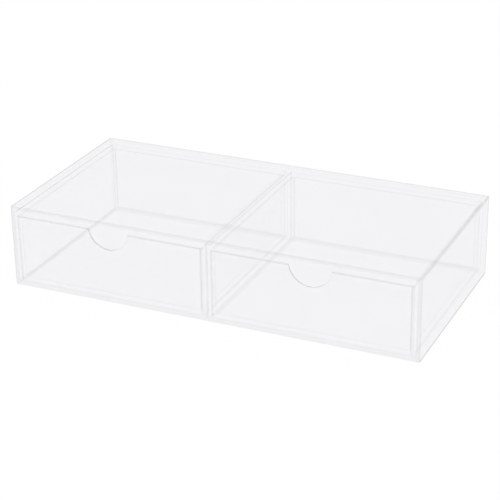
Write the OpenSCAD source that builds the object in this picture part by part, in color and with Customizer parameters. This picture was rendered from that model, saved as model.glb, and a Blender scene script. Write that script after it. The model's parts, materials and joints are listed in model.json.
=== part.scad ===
// Stackable drawer box of clear acrylic sheet: a flat housing that is open at the front and
// split by an upright divider, with two notched drawers side by side.
//
// The panels are cut from flat sheet and bonded face to edge. X runs from left to right,
// Y from front to back and Z up. The origin is the middle of the housing's underside.
// All sizes are in millimetres.

/* [Housing] */
// Width of the housing, left to right
housing_w = 300; // [220:1:400]
// Depth of the housing, front to back
housing_d = 144; // [100:1:250]
// Height of the housing
housing_h = 60; // [45:1:120]
// Thickness of the sheet in the housing's outer panels
housing_sheet = 3; // [2:0.5:5]
// Thickness of the sheet in the upright divider
divider_sheet = 2; // [1.5:0.5:5]
// Radius that the housing's outer edges are polished to
housing_edge_r = 1.2; // [0.2:0.1:1.5]

/* [Drawers] */
// Thickness of the sheet in the drawers
drawer_sheet = 2; // [1.5:0.5:4]
// Gap on each side of a drawer, to the side panel and to the divider
side_gap = 1.85; // [0.5:0.05:4]
// Gap between a drawer's top edges and the top panel
top_gap = 3.7; // [1:0.1:10]
// Running clearance between a drawer and the base panel
base_gap = 0.3; // [0.2:0.1:1]
// Gap between a closed drawer and the back panel
back_gap = 1; // [0.3:0.1:5]
// Radius that the drawers' outer edges are polished to
drawer_edge_r = 0.5; // [0.2:0.1:1]

/* [Finger notch] */
// Radius of the round notch in a drawer's front
notch_r = 15.2; // [8:0.1:18]
// Height of the notch's centre above the drawer's top edge
notch_rise = 1.6; // [0:0.1:4]
// Radius of the rounding where the notch runs out into the top edge
notch_lip_r = 1; // [0.5:0.1:3]

/* [Hidden] */

// Segments in a full circle of the polished edges and the notch
$fn = 64;

// Which of two mirrored places a piece takes
left = -1;
right = 1;

// Clear sheet with a cool, barely grey tint; the thicker housing reads a little darker
housing_colour = [0.86, 0.88, 0.92, 0.35];
drawer_colour = [0.91, 0.93, 0.96, 0.3];

// The walls stand on the base panel and carry the top panel
wall_h = housing_h - 2 * housing_sheet;
// The side panels close the ends of the back panel
back_panel_w = housing_w - 2 * housing_sheet;
divider_d = housing_d - housing_sheet;
front_y = -housing_d / 2;
back_wall_y = housing_d / 2 - housing_sheet;

// Each bay between a side panel and the divider holds one drawer
bay_w = (back_panel_w - divider_sheet) / 2;
bay_x = (bay_w + divider_sheet) / 2;
drawer_w = bay_w - 2 * side_gap;
drawer_d = back_wall_y - back_gap - front_y;
drawer_h = wall_h - base_gap - top_gap;
drawer_z = housing_sheet + base_gap;

// A drawer's front and back cover the ends of its sides, and its floor lies inside all four
drawer_side_d = drawer_d - 2 * drawer_sheet;
drawer_floor_w = drawer_w - 2 * drawer_sheet;

// The lip's rounding touches the top edge from below and the notch from outside
notch_z = drawer_h + notch_rise;
lip_z = drawer_h - notch_lip_r;
lip_reach = notch_r + notch_lip_r;
lip_x = sqrt(pow(lip_reach, 2) - pow(notch_z - lip_z, 2));
// Where the lip's rounding meets the notch
lip_end_x = lip_x * notch_r / lip_reach;
lip_end_z = notch_z - (notch_z - lip_z) * notch_r / lip_reach;
// How far a cut runs past the face that it opens
cut_over = 1;

// Upright rectangle from z = 0, centred on x = 0
module upright(w, h) {
    translate([-w / 2, 0]) square([w, h]);
}

// Centred rectangle with round corners
module round_rectangle(w, h, r) {
    square([w, h - 2 * r], center = true);
    square([w - 2 * r, h], center = true);
    for (x = [-1, 1], y = [-1, 1])
        translate([x * (w / 2 - r), y * (h / 2 - r)]) circle(r);
}

// Box centred on x = 0 and y = 0, standing on z = 0, with all its edges rounded
module eased_box(w, d, h, r) {
    intersection() {
        linear_extrude(h) round_rectangle(w, d, r);
        translate([0, d / 2, h / 2]) rotate([90, 0, 0])
            linear_extrude(d) round_rectangle(w, h, r);
        translate([-w / 2, 0, h / 2]) rotate([90, 0, 90])
            linear_extrude(w) round_rectangle(d, h, r);
    }
}

// Flat panel with its low corner at the given point
module panel(corner, size) {
    translate(corner) cube(size);
}

// Keeps what lies inside the housing's polished outline
module housing_piece() {
    color(housing_colour) intersection() {
        children();
        eased_box(housing_w, housing_d, housing_h, housing_edge_r);
    }
}

// Keeps what lies inside a drawer's polished outline, and puts it in its bay. The outline
// has round corners and round lower edges, and its rim is square. The drawer's own frame
// has x = 0 in its middle, y = 0 at its front and z = 0 below it.
module drawer_piece(hand) {
    color(drawer_colour) translate([hand * bay_x, front_y, drawer_z]) intersection() {
        children();
        translate([0, drawer_d / 2, 0])
            eased_box(drawer_w, drawer_d, drawer_h + 2 * drawer_edge_r, drawer_edge_r);
    }
}

module top_panel() {
    housing_piece()
        panel([-housing_w / 2, front_y, housing_h - housing_sheet],
              [housing_w, housing_d, housing_sheet]);
}

module base_panel() {
    housing_piece()
        panel([-housing_w / 2, front_y, 0], [housing_w, housing_d, housing_sheet]);
}

module side_panel(hand) {
    middle_x = hand * (housing_w - housing_sheet) / 2;
    housing_piece()
        panel([middle_x - housing_sheet / 2, front_y, housing_sheet],
              [housing_sheet, housing_d, wall_h]);
}

module back_panel() {
    housing_piece()
        panel([-back_panel_w / 2, back_wall_y, housing_sheet],
              [back_panel_w, housing_sheet, wall_h]);
}

module centre_divider() {
    housing_piece()
        panel([-divider_sheet / 2, front_y, housing_sheet],
              [divider_sheet, divider_d, wall_h]);
}

// Outline of a drawer's front. The finger notch is cut first, then its two sharp ends, and
// a sector of a small circle puts a round lip back at each end.
module notched_front_outline() {
    difference() {
        upright(drawer_w, drawer_h);
        translate([0, notch_z]) circle(notch_r);
        polygon([
            [-lip_x, drawer_h + cut_over], [-lip_x, lip_z], [-lip_end_x, lip_end_z],
            [lip_end_x, lip_end_z], [lip_x, lip_z], [lip_x, drawer_h + cut_over]
        ]);
    }
    for (hand = [left, right]) intersection() {
        translate([hand * lip_x, lip_z]) circle(notch_lip_r);
        polygon([
            [hand * lip_x, lip_z], [hand * lip_end_x, lip_end_z],
            [hand * lip_end_x, drawer_h], [hand * lip_x, drawer_h]
        ]);
    }
}

module drawer_front(hand) {
    drawer_piece(hand)
        translate([0, drawer_sheet, 0]) rotate([90, 0, 0])
            linear_extrude(drawer_sheet) notched_front_outline();
}

module drawer_back(hand) {
    drawer_piece(hand)
        panel([-drawer_w / 2, drawer_d - drawer_sheet, 0],
              [drawer_w, drawer_sheet, drawer_h]);
}

module drawer_side(hand, wall_hand) {
    middle_x = wall_hand * (drawer_w - drawer_sheet) / 2;
    drawer_piece(hand)
        panel([middle_x - drawer_sheet / 2, drawer_sheet, 0],
              [drawer_sheet, drawer_side_d, drawer_h]);
}

module drawer_floor(hand) {
    drawer_piece(hand)
        panel([-drawer_floor_w / 2, drawer_sheet, 0],
              [drawer_floor_w, drawer_side_d, drawer_sheet]);
}

top_panel();
base_panel();
side_panel(left);  // left_side_panel
side_panel(right);  // right_side_panel
back_panel();
centre_divider();
drawer_front(left);  // left_drawer_front
drawer_back(left);  // left_drawer_back
drawer_side(left, left);  // left_drawer_left_side
drawer_side(left, right);  // left_drawer_right_side
drawer_floor(left);  // left_drawer_floor
drawer_front(right);  // right_drawer_front
drawer_back(right);  // right_drawer_back
drawer_side(right, left);  // right_drawer_left_side
drawer_side(right, right);  // right_drawer_right_side
drawer_floor(right);  // right_drawer_floor
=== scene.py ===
"""Looks of the stackable drawer box: clear bonded sheet on a white floor, seen as in the photograph.

The panels of the housing are cemented together, and so are those of each drawer. Light passes
their joints as if they were one piece, so each bonded body is one mesh here, built on the places
of its panels.
"""
import itertools
import json
import math

import bmesh
import bpy
from mathutils import Matrix, Vector


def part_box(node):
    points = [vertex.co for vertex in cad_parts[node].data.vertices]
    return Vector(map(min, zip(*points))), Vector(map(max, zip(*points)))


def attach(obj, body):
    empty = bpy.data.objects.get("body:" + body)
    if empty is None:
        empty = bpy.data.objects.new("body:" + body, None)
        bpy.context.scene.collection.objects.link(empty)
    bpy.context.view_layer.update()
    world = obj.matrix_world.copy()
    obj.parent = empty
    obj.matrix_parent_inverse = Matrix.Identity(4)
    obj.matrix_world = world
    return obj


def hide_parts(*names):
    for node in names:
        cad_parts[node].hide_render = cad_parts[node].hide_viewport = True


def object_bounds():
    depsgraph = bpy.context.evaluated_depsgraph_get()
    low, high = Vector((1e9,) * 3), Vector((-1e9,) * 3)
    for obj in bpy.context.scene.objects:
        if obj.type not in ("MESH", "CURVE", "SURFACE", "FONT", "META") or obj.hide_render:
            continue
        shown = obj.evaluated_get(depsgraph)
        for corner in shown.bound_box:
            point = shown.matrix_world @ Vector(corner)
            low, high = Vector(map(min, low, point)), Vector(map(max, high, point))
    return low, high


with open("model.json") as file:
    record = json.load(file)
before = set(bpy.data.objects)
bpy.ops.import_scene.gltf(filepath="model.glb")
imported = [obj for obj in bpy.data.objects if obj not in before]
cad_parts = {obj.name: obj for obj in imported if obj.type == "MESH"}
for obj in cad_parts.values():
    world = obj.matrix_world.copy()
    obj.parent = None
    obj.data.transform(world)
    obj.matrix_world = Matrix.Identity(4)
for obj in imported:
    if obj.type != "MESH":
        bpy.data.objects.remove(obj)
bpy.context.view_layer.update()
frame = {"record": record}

MM = 0.001
AXES = (0, 1, 2)
HANDS = ("left", "right")
HOUSING_NODES = (
    "top_panel", "base_panel", "left_side_panel", "right_side_panel", "back_panel", "centre_divider",
)

# Camera: degrees around the middle of the box, metres from it, and metres that the aim lies
# beside and above it
CAMERA_AZIMUTH = 24.641
CAMERA_ELEVATION = 24.807
CAMERA_ROLL = -0.876
CAMERA_DISTANCE = 1142.6 * MM
CAMERA_AIM_RIGHT = -0.70 * MM
CAMERA_AIM_UP = -6.84 * MM
# Its focal length and sensor width in millimetres
CAMERA_LENS = 117.24
CAMERA_SENSOR = 36.0

# Hollow cells of the housing and of a drawer, counted from 0 at the left, the front and the bottom
HOUSING_BAYS = {(1, 0, 1), (3, 0, 1)}
DRAWER_INSIDE = {(1, 1, 1)}

# Radii of a body's outer edges, and of the cement in its inner corners by the floor, by the
# ceiling and upright between walls. A drawer has no ceiling.
HOUSING_RADII = {"outer": 1.2 * MM, "floor": 2.2 * MM, "ceiling": 2.8 * MM, "upright": 1.0 * MM}
DRAWER_RADII = {"outer": 0.45 * MM, "floor": 3.0 * MM, "upright": 1.2 * MM}
EDGE_SEGMENTS = 6
# Least angle at an edge that is rounded, and greatest angle between faces that are joined
SHARP_ANGLE = math.radians(30)
FLAT_ANGLE = math.radians(0.05)
# Least cosine of an edge or a face that counts as square to an axis
SQUARE = 0.999
# Least part of a normal that makes a rounding lean that way
LEANING = 0.1
# Least height of a wall, which a sheet that lies flat doesn't reach
WALL_HEIGHT = 20 * MM
# How near a face lies to the housing's front, or to the top of a drawer's walls, to be its rim
RIM_REACH = 1 * MM

# Finger notch, as in the CAD front
NOTCH_RADIUS = 15.2 * MM
NOTCH_RISE = 1.6 * MM
NOTCH_LIP = 1.0 * MM
# Straight steps round the notch and round a lip
NOTCH_STEPS = 72
LIP_STEPS = 8
# How far the cutter runs past what it cuts
CUT_OVER = 2 * MM

# Clear sheet. Most light goes straight through the thin sheet, and the rest is bent and mirrored
# by the first face that it meets. The entry tint is what the whole box takes from it, once.
SHEET_IOR = 1.49
STRAIGHT = 0.9
ENTRY_TINT = (0.913, 0.913, 0.926, 1)
NO_TINT = (1, 1, 1, 1)
HOUSING_TINT = (0.997, 0.997, 0.998, 1)
DRAWER_TINT = (0.998, 0.998, 0.999, 1)
CLEAREST = (0.999, 0.999, 1, 1)
# Detail of its surface: blobs to a metre, the roughness that haze and dullness reach, and the
# heights of waves and marks in metres with the strength that they show at
CLOUD_SCALE = 14
CLOUD_DETAIL = 2
HAZE_SCALE = 60
HAZE_DETAIL = 6
FACE_HAZE = 0.03
WAVE_SCALE = 16
WAVE_DETAIL = 1
WAVE_HEIGHT = 0.1 * MM
FACE_WAVE = 0.3
DULL_SCALE = 300
DULL_DETAIL = 4
EDGE_DULL_LOW = 0.02
EDGE_DULL_HIGH = 0.04
MARK_SCALE = 900
MARK_DETAIL = 3
MARK_HEIGHT = 0.02 * MM
EDGE_MARKS = 0.02
# The middle of a noise's range
NOISE_LOW = 0.3
NOISE_HIGH = 0.7

# Mesh attributes of painted shade: how dark a face looks as a rounded edge, a fillet or a cut
# face, and where the plastic behind it is deep
ROUNDED_PAINTED_SHADE = "rounded"
FILLET_PAINTED_SHADE = "fillet"
CUT_PAINTED_SHADE = "cut"
DEEP_PAINTED_SHADE = "deep"
# Painted shade: what a fully dark edge lets through, and its share in the glass of rounded edges
PAINTED_SHADE_TINT = (0.3, 0.3, 0.32, 1)
PAINTED_SHADE_SHARE = 0.2
# Painted shade: a rounded edge darkens as it slants away from the eye, from the first to the last
# of these facings of a Layer Weight with this blend, and starts from this share
SLANT_BLEND = 0.5
SLANT_START = 0.5
SLANT_END = 0.9
SLANT_LOW = 0.05
# Largest part of the normal halfway round a rounding
HALFWAY = math.sqrt(0.5)
# Painted shade of rounded edges at a slant: the housing's, its front edge near the floor, a
# drawer's and the notch's
HOUSING_ROUNDED = 0.9
FOOT_ROUNDED = 0.1
DRAWER_ROUNDED = 0.35
NOTCH_ROUNDED = 0.3
# Painted shade of cut surfaces from the air side at any slant: the housing's edges, a drawer's
# edges, the top edge of its front, the notch, and the rims
HOUSING_CUT = 0.11
DRAWER_CUT = 0.06
FRONT_CUT = 0.25
NOTCH_CUT = 0.42
RIM_CUT = 0.07
# Painted shade of the sheet where it is deep, in the front ends of its walls, and in its fillets
# by the floor, by the ceiling and upright
HOUSING_SHADES = {"deep": 0.015, "end": 0.1, "floor": 0.05, "ceiling": 0.04, "upright": 0.12}
DRAWER_SHADES = {"deep": 0.03, "end": 0.1, "floor": 0.045, "upright": 0.11}

# Light paths pass through up to this many faces
LIGHT_BOUNCES = 64

# White floor just below the box, with its glow in the camera's eye and in gloss and glass, and the
# share of it that glows
FLOOR_HALF = 3.0
FLOOR_DROP = 0.2 * MM
FLOOR_COLOUR = (0.8, 0.8, 0.8, 1)
FLOOR_GLOW = 1.02
FLOOR_GLOW_IN_GLASS = 0.95
FLOOR_GLOW_SHARE = 0.93
# Studio light, and the darker ring round the horizon with the sine of its height
STUDIO_LIGHT = 0.92
STUDIO_HORIZON = 0.5
HORIZON_HEIGHT = 0.3


# ---------------------------------------------------------------- camera
def make_camera():
    """Camera at the photograph's viewing angle, aimed close to the middle of the box."""
    az, el, roll = (math.radians(a) for a in (CAMERA_AZIMUTH, CAMERA_ELEVATION, CAMERA_ROLL))
    low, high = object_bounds()
    middle = (Vector(low) + Vector(high)) / 2
    forward = Vector((-math.sin(az) * math.cos(el), math.cos(az) * math.cos(el), -math.sin(el)))
    level = Vector((math.cos(az), math.sin(az), 0))
    upright = level.cross(forward)
    right = math.cos(roll) * level + math.sin(roll) * upright
    up = math.cos(roll) * upright - math.sin(roll) * level
    place = middle + CAMERA_AIM_RIGHT * right + CAMERA_AIM_UP * up - CAMERA_DISTANCE * forward
    data = bpy.data.cameras.new("camera")
    data.lens = CAMERA_LENS
    data.sensor_width = CAMERA_SENSOR
    camera = bpy.data.objects.new("camera", data)
    turn = Matrix((right, up, -forward)).transposed().to_4x4()
    camera.matrix_world = Matrix.Translation(place) @ turn
    bpy.context.scene.collection.objects.link(camera)
    bpy.context.scene.camera = camera


# ---------------------------------------------------------------- meshes
def add_object(name, mesh):
    """Turns a bmesh into an object of the scene."""
    data = bpy.data.meshes.new(name)
    mesh.to_mesh(data)
    mesh.free()
    obj = bpy.data.objects.new(name, data)
    bpy.context.scene.collection.objects.link(obj)
    return obj


def cell_ring(corner, cell, axis, side):
    """Corners of a cell's face on the low or high side of an axis, in order for it to look out."""
    across, along = (axis + 1) % len(AXES), (axis + 2) % len(AXES)
    ring = []
    for step_across, step_along in ((0, 0), (1, 0), (1, 1), (0, 1)):
        at = list(cell)
        at[axis] += side
        at[across] += step_across
        at[along] += step_along
        ring.append(corner(at))
    return ring if side else ring[::-1]


def add_cell_faces(mesh, corner, cell, is_solid):
    """The faces of one solid cell that no other solid cell covers. A face is deep where the
    plastic behind it is deeper than its own sheet, and that mark later holds its painted shade.
    Deep faces have a material number for each layer, which keeps them apart from the other faces in
    their plane."""
    deep = mesh.faces.layers.float[DEEP_PAINTED_SHADE]
    for axis, side in itertools.product(AXES, (0, 1)):
        outwards = 1 if side else -1
        beyond, behind = list(cell), list(cell)
        beyond[axis] += outwards
        behind[axis] -= outwards
        if not is_solid(beyond):
            face = mesh.faces.new(cell_ring(corner, cell, axis, side))
            face[deep] = int(is_solid(behind))
            face.material_index = cell[2] + 1 if is_solid(behind) else 0


def cell_solid(name, cuts, hollow):
    """Closed mesh of the cells between the cuts along X, Y and Z, apart from the hollow cells."""
    mesh = bmesh.new()
    mesh.faces.layers.float.new(DEEP_PAINTED_SHADE)
    corners = {}
    counts = [len(places) - 1 for places in cuts]

    def corner(at):
        key = tuple(at)
        if key not in corners:
            corners[key] = mesh.verts.new([cuts[axis][key[axis]] for axis in AXES])
        return corners[key]

    def is_solid(cell):
        is_within = all(0 <= cell[axis] < counts[axis] for axis in AXES)
        return is_within and tuple(cell) not in hollow

    for cell in itertools.product(*(range(count) for count in counts)):
        if is_solid(cell):
            add_cell_faces(mesh, corner, cell, is_solid)
    bmesh.ops.dissolve_limit(
        mesh, angle_limit=FLAT_ANGLE, verts=mesh.verts, edges=mesh.edges, delimit={"MATERIAL"}
    )
    return add_object(name, mesh)


def apply_modifiers(obj):
    """Replaces the object's mesh with what its modifiers make of it."""
    graph = bpy.context.evaluated_depsgraph_get()
    obj.data = bpy.data.meshes.new_from_object(obj.evaluated_get(graph))
    obj.modifiers.clear()


def kind_of(edge):
    """Whether a sharp edge is an outer one, or in an inner corner of one of three kinds."""
    if edge.calc_face_angle_signed(0) > 0:
        return "outer"
    direction = (edge.verts[1].co - edge.verts[0].co).normalized()
    if abs(direction.z) > SQUARE:
        return "upright"
    return "ceiling" if sum(face.normal.z for face in edge.link_faces) < 0 else "floor"


def mark_roundings(obj, radii):
    """Gives each sharp edge the share of the largest radius that it is rounded by."""
    mesh = bmesh.new()
    mesh.from_mesh(obj.data)
    weight = mesh.edges.layers.float.new("bevel_weight_edge")
    for edge in mesh.edges:
        if abs(edge.calc_face_angle_signed(0)) >= SHARP_ANGLE:
            edge[weight] = radii[kind_of(edge)] / max(radii.values())
    mesh.to_mesh(obj.data)
    mesh.free()


def round_edges(obj, radii):
    """Rounds the outer edges and the inner corners, and keeps the flat faces flat to the light."""
    mark_roundings(obj, radii)
    for polygon in obj.data.polygons:
        polygon.use_smooth = True
    modifier = obj.modifiers.new("edges", "BEVEL")
    modifier.width = max(radii.values())
    modifier.segments = EDGE_SEGMENTS
    modifier.limit_method = "WEIGHT"
    modifier.harden_normals = True
    apply_modifiers(obj)


def make_housing():
    """The open-fronted housing: five outer panels and the divider."""
    base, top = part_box("base_panel"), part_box("top_panel")
    left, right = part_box("left_side_panel"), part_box("right_side_panel")
    back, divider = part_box("back_panel"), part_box("centre_divider")
    xs = [base[0].x, left[1].x, divider[0].x, divider[1].x, right[0].x, base[1].x]
    ys = [base[0].y, back[0].y, base[1].y]
    zs = [base[0].z, base[1].z, top[0].z, top[1].z]
    obj = cell_solid("housing_shell", (xs, ys, zs), HOUSING_BAYS)
    round_edges(obj, HOUSING_RADII)
    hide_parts(*HOUSING_NODES)
    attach(obj, "housing")
    return obj


def arc(centre, radius, start, end, steps):
    """Points on a circle in the plane of a drawer's front."""
    angles = [start + (end - start) * step / steps for step in range(steps + 1)]
    return [(centre[0] + radius * math.cos(a), centre[1] + radius * math.sin(a)) for a in angles]


def notch_outline(top):
    """Outline of the finger notch around x = 0, with a round lip where it meets the top edge."""
    centre_z = top + NOTCH_RISE
    lip_z = top - NOTCH_LIP
    lip_x = math.sqrt((NOTCH_RADIUS + NOTCH_LIP) ** 2 - (centre_z - lip_z) ** 2)
    turn = math.atan2(centre_z - lip_z, lip_x)
    above = top + CUT_OVER
    return [
        (lip_x, above),
        *arc((lip_x, lip_z), NOTCH_LIP, math.pi / 2, math.pi - turn, LIP_STEPS),
        *arc((0, centre_z), NOTCH_RADIUS, -turn, turn - math.pi, NOTCH_STEPS),
        *arc((-lip_x, lip_z), NOTCH_LIP, turn, math.pi / 2, LIP_STEPS),
        (-lip_x, above),
    ]


def make_cutter(front):
    """Prism of the finger notch, a little deeper than the drawer's front."""
    middle = (front[0].x + front[1].x) / 2
    outline = notch_outline(front[1].z)
    mesh = bmesh.new()
    near = [mesh.verts.new((middle + x, front[0].y - CUT_OVER, z)) for x, z in outline]
    far = [mesh.verts.new((middle + x, front[1].y + CUT_OVER, z)) for x, z in outline]
    mesh.faces.new(near)
    mesh.faces.new(far[::-1])
    for i in range(len(outline)):
        mesh.faces.new((near[i - 1], far[i - 1], far[i], near[i]))
    bmesh.ops.recalc_face_normals(mesh, faces=mesh.faces)
    return add_object("notch_cutter", mesh)


def cut_notch(obj, front):
    """Cuts the finger notch out of a tray's front."""
    cutter = make_cutter(front)
    modifier = obj.modifiers.new("notch", "BOOLEAN")
    modifier.operation = "DIFFERENCE"
    modifier.solver = "EXACT"
    modifier.object = cutter
    apply_modifiers(obj)
    bpy.data.objects.remove(cutter)


def make_drawer(hand):
    """One bonded tray with its finger notch."""
    front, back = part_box(f"{hand}_drawer_front"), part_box(f"{hand}_drawer_back")
    left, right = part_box(f"{hand}_drawer_left_side"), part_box(f"{hand}_drawer_right_side")
    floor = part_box(f"{hand}_drawer_floor")
    xs = [front[0].x, left[1].x, right[0].x, front[1].x]
    ys = [front[0].y, front[1].y, back[0].y, back[1].y]
    zs = [front[0].z, floor[1].z, front[1].z]
    obj = cell_solid(f"{hand}_drawer_tray", (xs, ys, zs), DRAWER_INSIDE)
    cut_notch(obj, front)
    round_edges(obj, DRAWER_RADII)
    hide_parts(*frame["record"]["behaviour"]["bodies"][f"{hand}_drawer"])
    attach(obj, f"{hand}_drawer")
    return obj


# ---------------------------------------------------------------- shader nodes
def new_material(name):
    material = bpy.data.materials.new(name)
    material.use_nodes = True
    return material


def fill(tree, sockets, values):
    """Sets each input to a constant, or links it to another node's output."""
    for socket, value in zip(sockets, values):
        if isinstance(value, bpy.types.NodeSocket):
            tree.links.new(value, socket)
        else:
            socket.default_value = value


def add_node(tree, kind, **inputs):
    """A shader node with its named inputs filled."""
    node = tree.nodes.new(kind)
    fill(tree, [node.inputs[name] for name in inputs], inputs.values())
    return node


def attribute(tree, name):
    """Number that the mesh holds for each face."""
    node = tree.nodes.new("ShaderNodeAttribute")
    node.attribute_name = name
    return node.outputs["Fac"]


def calculate(tree, operation, *values):
    """Result of an operation on numbers."""
    node = tree.nodes.new("ShaderNodeMath")
    node.operation = operation
    fill(tree, node.inputs, values)
    return node.outputs["Value"]


def greatest(tree, value, *others):
    """The greatest of two or more numbers."""
    for other in others:
        value = calculate(tree, "MAXIMUM", value, other)
    return value


def spread(tree, value, low, high, start=NOISE_LOW, end=NOISE_HIGH):
    """Maps start to end, by default the middle of a noise's range, onto low to high."""
    ends = {"From Min": start, "From Max": end, "To Min": low, "To Max": high}
    return add_node(tree, "ShaderNodeMapRange", Value=value, **ends).outputs["Result"]


def blend(tree, factor, low, high):
    """Number between low and high."""
    return add_node(tree, "ShaderNodeMix", Factor=factor, A=low, B=high).outputs["Result"]


def colour_blend(tree, factor, low, high, way="MIX"):
    """Colour between low and high, or their product when the way is MULTIPLY and the factor 1."""
    node = tree.nodes.new("ShaderNodeMix")
    node.data_type = "RGBA"
    node.blend_type = way
    ends = [socket for socket in node.inputs if socket.type == "RGBA"]
    fill(tree, (node.inputs["Factor"], *ends), (factor, low, high))
    return next(socket for socket in node.outputs if socket.type == "RGBA")


def noise(tree, place, scale, detail):
    """Noise with the given number of blobs to a metre."""
    return add_node(tree, "ShaderNodeTexNoise", Vector=place, Scale=scale, Detail=detail).outputs["Fac"]


def show_mixed(tree, share, first, second):
    """Makes the surface of the second shader by the share, and of the first by the rest."""
    mix = add_node(tree, "ShaderNodeMixShader", Fac=share)
    tree.links.new(first, mix.inputs[1])
    tree.links.new(second, mix.inputs[2])
    tree.links.new(mix.outputs["Shader"], tree.nodes["Material Output"].inputs["Surface"])


# ---------------------------------------------------------------- clear sheet
def bend_of(tree):
    """Square root of how far a rounding has turned away from the flat faces beside it, which is 0
    on them and 1 halfway round."""
    normal = tree.nodes.new("ShaderNodeTexCoord").outputs["Normal"]
    parts = add_node(tree, "ShaderNodeSeparateXYZ", Vector=normal).outputs
    largest = greatest(tree, *(calculate(tree, "ABSOLUTE", parts[axis]) for axis in "XYZ"))
    return calculate(tree, "SQRT", spread(tree, largest, 0, 1, 1, HALFWAY))


def painted_edge_shade(tree):
    """Painted shade: how dark a place on the sheet's edges looks. A rounded edge is darkest where it
    slants away and a fillet in its middle. A cut face is dark from the air side only, and deep
    plastic evenly."""
    facing = add_node(tree, "ShaderNodeLayerWeight", Blend=SLANT_BLEND).outputs["Facing"]
    slant = spread(tree, facing, SLANT_LOW, 1, SLANT_START, SLANT_END)
    rounded = calculate(tree, "MULTIPLY", attribute(tree, ROUNDED_PAINTED_SHADE), slant)
    fillet = calculate(tree, "MULTIPLY", attribute(tree, FILLET_PAINTED_SHADE), bend_of(tree))
    plastic_side = tree.nodes.new("ShaderNodeNewGeometry").outputs["Backfacing"]
    air_side = calculate(tree, "SUBTRACT", 1, plastic_side)
    cut = calculate(tree, "MULTIPLY", attribute(tree, CUT_PAINTED_SHADE), air_side)
    return greatest(tree, rounded, fillet, cut, attribute(tree, DEEP_PAINTED_SHADE))


def face_colour(tree, place, tint):
    """The sheet's tint with a faint cloud in it."""
    cloud = spread(tree, noise(tree, place, CLOUD_SCALE, CLOUD_DETAIL), 0, 1)
    return colour_blend(tree, cloud, tint, CLEAREST)


def roughness(tree, place, edge):
    """A haze of handling on the faces, and edges that are a little duller."""
    haze = spread(tree, noise(tree, place, HAZE_SCALE, HAZE_DETAIL), 0, FACE_HAZE)
    dull = spread(tree, noise(tree, place, DULL_SCALE, DULL_DETAIL), EDGE_DULL_LOW, EDGE_DULL_HIGH)
    return blend(tree, edge, haze, dull)


def relief(tree, place, edge):
    """A slow waviness everywhere, and fine polishing marks on the edges."""
    wave = add_node(
        tree, "ShaderNodeBump", Height=noise(tree, place, WAVE_SCALE, WAVE_DETAIL),
        Strength=FACE_WAVE, Distance=WAVE_HEIGHT,
    )
    marks = add_node(
        tree, "ShaderNodeBump", Height=noise(tree, place, MARK_SCALE, MARK_DETAIL),
        Strength=blend(tree, edge, 0, EDGE_MARKS), Distance=MARK_HEIGHT, Normal=wave.outputs["Normal"],
    )
    return marks.outputs["Normal"]


def let_light_through(tree, shader, clear):
    """Lets most light go straight on, darker by the painted shade of the edges that it crosses. The
    first face also gives it the entry tint, and bends or mirrors what is left of it."""
    crossed = tree.nodes.new("ShaderNodeLightPath").outputs["Transparent Depth"]
    is_inside = calculate(tree, "MINIMUM", crossed, 1)
    colour = colour_blend(tree, painted_edge_shade(tree), clear, PAINTED_SHADE_TINT)
    entry = colour_blend(tree, is_inside, ENTRY_TINT, NO_TINT)
    tinted = colour_blend(tree, 1, colour, entry, "MULTIPLY")
    passed = add_node(tree, "ShaderNodeBsdfTransparent", Color=tinted)
    straight = greatest(tree, is_inside, STRAIGHT)
    show_mixed(tree, straight, shader.outputs["BSDF"], passed.outputs["BSDF"])


def clear_sheet(name, tint):
    """Clear bonded sheet, whose edges get painted shade that makes them darker than its faces."""
    material = new_material(name)
    tree = material.node_tree
    shader = tree.nodes["Principled BSDF"]
    shader.inputs["Transmission Weight"].default_value = 1
    shader.inputs["IOR"].default_value = SHEET_IOR
    place = tree.nodes.new("ShaderNodeTexCoord").outputs["Object"]
    edge = attribute(tree, ROUNDED_PAINTED_SHADE)
    clear = face_colour(tree, place, tint)
    # Painted shade of rounded edges, in the colour of the bent and mirrored light as well
    painted_shade_share = calculate(tree, "MULTIPLY", edge, PAINTED_SHADE_SHARE)
    tree.links.new(colour_blend(tree, painted_shade_share, clear, PAINTED_SHADE_TINT), shader.inputs["Base Color"])
    tree.links.new(roughness(tree, place, edge), shader.inputs["Roughness"])
    tree.links.new(relief(tree, place, edge), shader.inputs["Normal"])
    let_light_through(tree, shader, clear)
    return material


# ---------------------------------------------------------------- painted shade of the faces
def housing_marks(base, face, is_rounded):
    """Painted shade of a face of the housing as a rounded edge and as a cut face, less on its front
    edge near the floor. The base is the box of the base panel, which reaches the housing's front."""
    normal = face.normal
    if is_rounded:
        is_foot = normal.y < -LEANING and normal.z < -LEANING
        return (FOOT_ROUNDED, 0) if is_foot else (HOUSING_ROUNDED, HOUSING_CUT)
    is_rim = -normal.y > SQUARE and face.calc_center_median().y < base[0].y + RIM_REACH
    return 0, (RIM_CUT if is_rim else 0)


def drawer_marks(front, face, is_rounded):
    """Painted shade of a face of a drawer as a rounded edge and as a cut face. The front is the
    box of the drawer's front."""
    normal, place = face.normal, face.calc_center_median()
    is_front = place.y < front[1].y
    from_middle = abs(place.x - (front[0].x + front[1].x) / 2)
    in_notch = is_front and from_middle < NOTCH_RADIUS and place.z > front[1].z - NOTCH_RADIUS
    if in_notch and abs(normal.y) < LEANING:
        return 0, NOTCH_CUT
    if in_notch and is_rounded:
        return NOTCH_ROUNDED, 0
    if is_rounded:
        return DRAWER_ROUNDED, (FRONT_CUT if is_front and normal.z > LEANING else DRAWER_CUT)
    is_rim = normal.z > SQUARE and place.z > front[1].z - RIM_REACH
    return 0, (RIM_CUT if is_rim else 0)


def depth_shade(face, shades):
    """Painted shade of a flat face with deep plastic behind it, darker at the front ends of walls."""
    heights = [vert.co.z for vert in face.verts]
    is_wall = max(heights) - min(heights) > WALL_HEIGHT
    return shades["end" if is_wall and face.normal.y < -SQUARE else "deep"]


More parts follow.
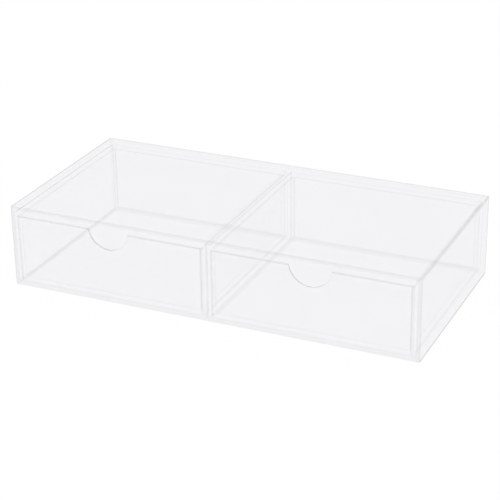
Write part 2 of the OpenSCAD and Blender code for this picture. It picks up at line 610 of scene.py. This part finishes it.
def fillet_shade(face, shades):
    """Painted shade that darkens a fillet in its middle."""
    if abs(face.normal.z) < LEANING:
        return shades["upright"]
    return shades["floor" if face.normal.z > 0 else "ceiling"]


def dress(obj, material, marks_of, box, shades):
    """Gives the object its material, and the attributes of painted shade that tell its edges from its
    faces. The marks of a face follow from where it lies on the box."""
    mesh = bmesh.new()
    mesh.from_mesh(obj.data)
    rounded, fillet, cut = (mesh.faces.layers.float.new(name) for name in (ROUNDED_PAINTED_SHADE, FILLET_PAINTED_SHADE, CUT_PAINTED_SHADE))
    deep = mesh.faces.layers.float[DEEP_PAINTED_SHADE]
    for face in mesh.faces:
        face.material_index = 0
        is_flat = max(abs(part) for part in face.normal) > SQUARE
        if face[deep]:
            face[deep] = depth_shade(face, shades) if is_flat else 0
        bends_outwards = sum(edge.calc_face_angle_signed(0) for edge in face.edges) > 0
        face[rounded], face[cut] = marks_of(box, face, bends_outwards and not is_flat)
        if not (is_flat or bends_outwards or face[cut]):
            face[fillet] = fillet_shade(face, shades)
    mesh.to_mesh(obj.data)
    mesh.free()
    obj.data.materials.clear()
    obj.data.materials.append(material)


# ---------------------------------------------------------------- stage
def shows_stage(tree, path):
    """1 on the rays that show the stage to the camera, straight on or in gloss and glass."""
    return greatest(tree, path["Is Glossy Ray"], path["Is Transmission Ray"], path["Is Camera Ray"])


def floor_material():
    """White floor that glows for the camera and for what gloss and glass show of it, and gives no
    light by its glow. The shadow is in the share that is lit floor."""
    material = new_material("floor_white")
    tree = material.node_tree
    shader = tree.nodes["Principled BSDF"]
    shader.inputs["Base Color"].default_value = FLOOR_COLOUR
    shader.inputs["Roughness"].default_value = 1
    shader.inputs["Specular IOR Level"].default_value = 0
    path = tree.nodes.new("ShaderNodeLightPath").outputs
    share = calculate(tree, "MULTIPLY", shows_stage(tree, path), FLOOR_GLOW_SHARE)
    strength = blend(tree, path["Is Camera Ray"], FLOOR_GLOW_IN_GLASS, FLOOR_GLOW)
    glow = add_node(tree, "ShaderNodeEmission", Strength=strength)
    show_mixed(tree, share, shader.outputs["BSDF"], glow.outputs["Emission"])
    return material


def make_floor():
    """Square of white floor under the box."""
    mesh = bmesh.new()
    bmesh.ops.create_grid(mesh, x_segments=1, y_segments=1, size=FLOOR_HALF)
    floor = add_object("floor", mesh)
    floor.location.z = -FLOOR_DROP
    floor.data.materials.append(floor_material())


def make_world():
    """Soft white studio, darker towards the horizon. The camera sees it plain white, and so do
    gloss and glass."""
    world = bpy.data.worlds.new("studio")
    world.use_nodes = True
    tree = world.node_tree
    place = tree.nodes.new("ShaderNodeTexCoord").outputs["Generated"]
    height = add_node(tree, "ShaderNodeSeparateXYZ", Vector=place).outputs["Z"]
    light = spread(tree, height, STUDIO_HORIZON, STUDIO_LIGHT, 0, HORIZON_HEIGHT)
    seen = shows_stage(tree, tree.nodes.new("ShaderNodeLightPath").outputs)
    tree.links.new(blend(tree, seen, light, 1), tree.nodes["Background"].inputs["Color"])
    bpy.context.scene.world = world


def set_light_paths():
    """Lets light go through all the sheets that lie behind each other."""
    cycles = bpy.context.scene.cycles
    cycles.max_bounces = LIGHT_BOUNCES
    cycles.transmission_bounces = LIGHT_BOUNCES
    cycles.glossy_bounces = LIGHT_BOUNCES
    cycles.transparent_max_bounces = LIGHT_BOUNCES


# ---------------------------------------------------------------- scene
make_camera()
housing_sheet = clear_sheet("housing_sheet", HOUSING_TINT)
dress(make_housing(), housing_sheet, housing_marks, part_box("base_panel"), HOUSING_SHADES)
drawer_sheet = clear_sheet("drawer_sheet", DRAWER_TINT)
for hand in HANDS:
    dress(make_drawer(hand), drawer_sheet, drawer_marks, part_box(f"{hand}_drawer_front"), DRAWER_SHADES)
make_floor()
make_world()
set_light_paths()
bpy.context.scene.view_settings.view_transform = "Standard"
